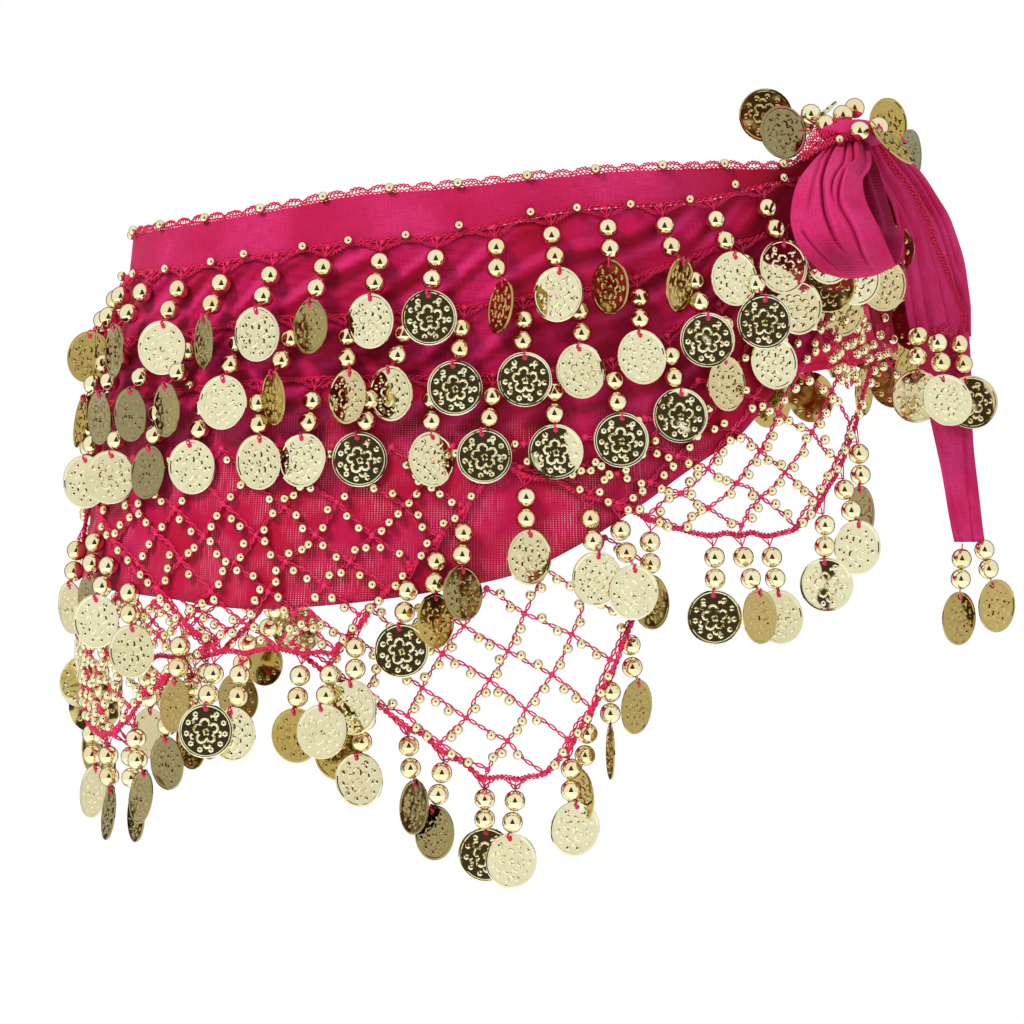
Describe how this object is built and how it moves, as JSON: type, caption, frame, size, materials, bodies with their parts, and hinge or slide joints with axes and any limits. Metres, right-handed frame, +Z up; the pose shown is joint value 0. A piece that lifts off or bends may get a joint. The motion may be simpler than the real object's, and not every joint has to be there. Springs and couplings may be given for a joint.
{
  "type": "belly dance hip scarf",
  "caption": "Worn hip scarf of fine cloth tied in a knot at the left hip, with rows of hanging coins, beaded crochet nets and a coin fringe.",
  "frame": {"origin": "middle of the wearer's hips, level with the waistband at the middle of the front", "axes": "+X to the wearer's left, towards the knot; -Y to the front; +Z up"},
  "size_m": [0.3786, 0.2373, 0.3098],
  "materials": {
    "cloth": "fine plain weave, slightly sheer, soft sheen",
    "crochet": "crocheted cotton thread, matt",
    "gold": "polished pale gold plating on stamped coins and hollow beads"
  },
  "bodies": {
    "root": {"waistband": "cloth", "cloth_panel": "cloth", "knot": "cloth", "bow_loop": "cloth", "tail": "cloth", "tail_ribbon": "cloth", "crochet_edging": "crochet", "net_over_1": "crochet", "net_over_2": "crochet", "net_over_3": "crochet", "net_hem_1": "crochet", "net_hem_2": "crochet", "coin_row_1": "gold", "coin_row_2": "gold", "coin_row_3": "gold", "fringe_over_1": "gold", "fringe_over_2": "gold", "fringe_over_3": "gold", "fringe_hem_1": "gold", "fringe_hem_2": "gold", "knot_coin_1": "gold", "knot_coin_2": "gold", "knot_coin_3": "gold", "knot_coin_4": "gold", "knot_coin_5": "gold", "knot_coin_6": "gold", "tail_coin_1": "gold", "tail_coin_2": "gold", "tail_coin_3": "gold", "ribbon_coin_1": "gold", "ribbon_coin_2": "gold"}
  },
  "joints": []
}
